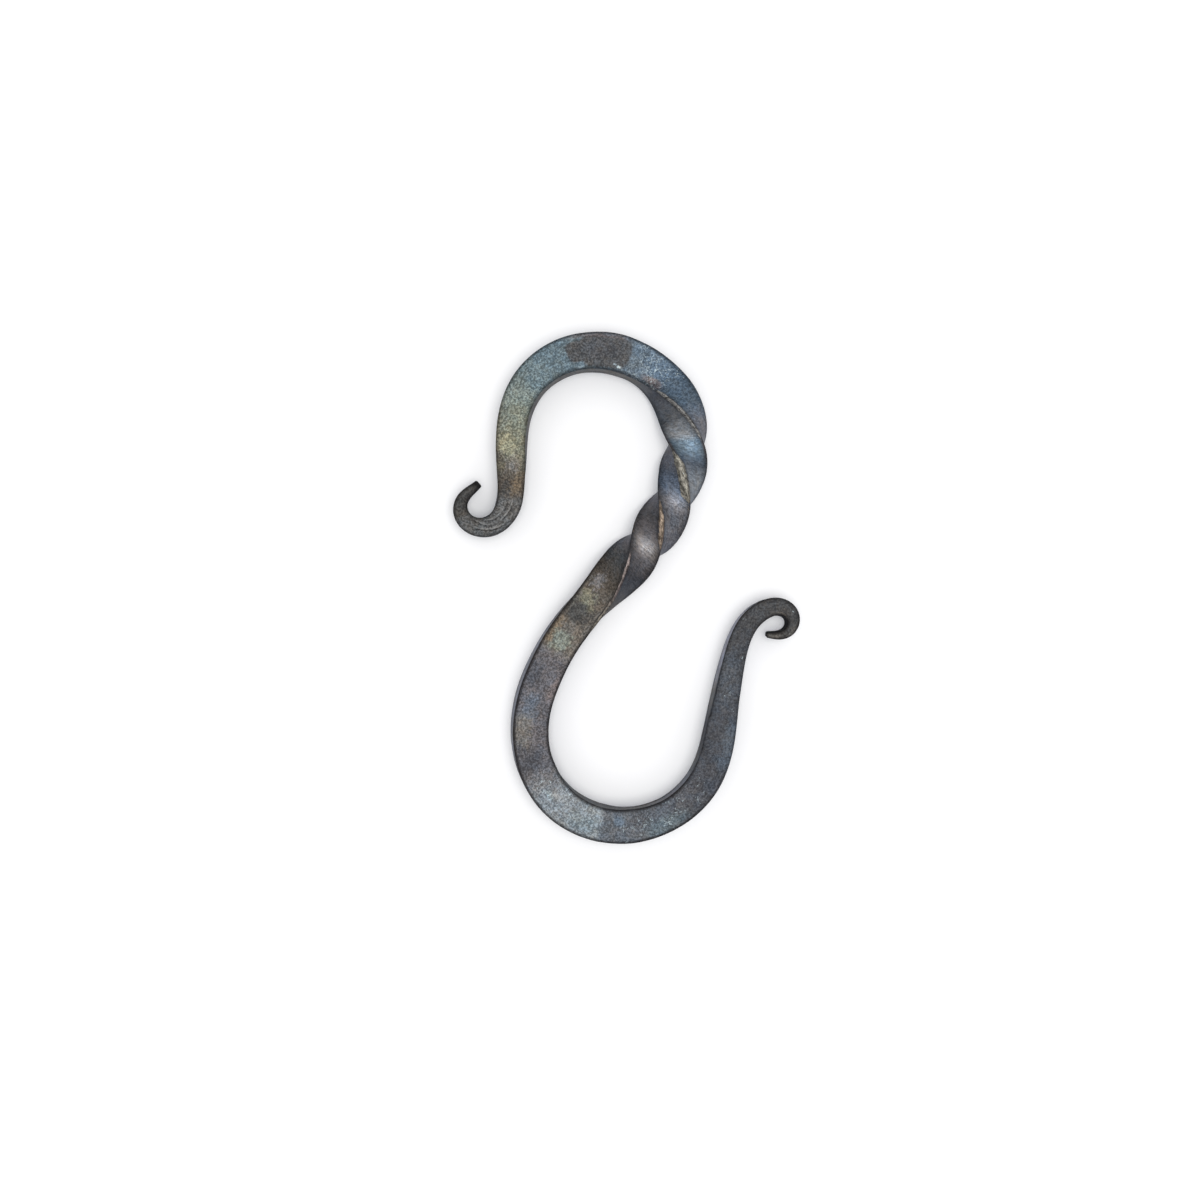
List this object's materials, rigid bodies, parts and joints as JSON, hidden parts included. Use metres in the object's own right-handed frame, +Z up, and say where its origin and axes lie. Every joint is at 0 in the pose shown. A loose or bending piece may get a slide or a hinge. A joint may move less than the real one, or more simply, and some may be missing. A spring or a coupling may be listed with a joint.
{
  "type": "twisted s hook",
  "caption": "Hand-forged S hook of square steel bar with a twisted shank and curled tapering tips, for hanging one thing from another.",
  "frame": {"origin": "bottom centre of the box round the hook, as it lies flat on a table", "axes": "+Z up, square to the plane of both hooks; +Y from the lower hook to the upper one; +X to the side of the lower hook's curl"},
  "size_m": [0.0608, 0.0896, 0.0084],
  "materials": {
    "forged_steel": "dark forge scale with blue, olive and brown heat tints under a thin dull wax"
  },
  "bodies": {
    "root": {"hook": "forged_steel"}
  },
  "joints": []
}
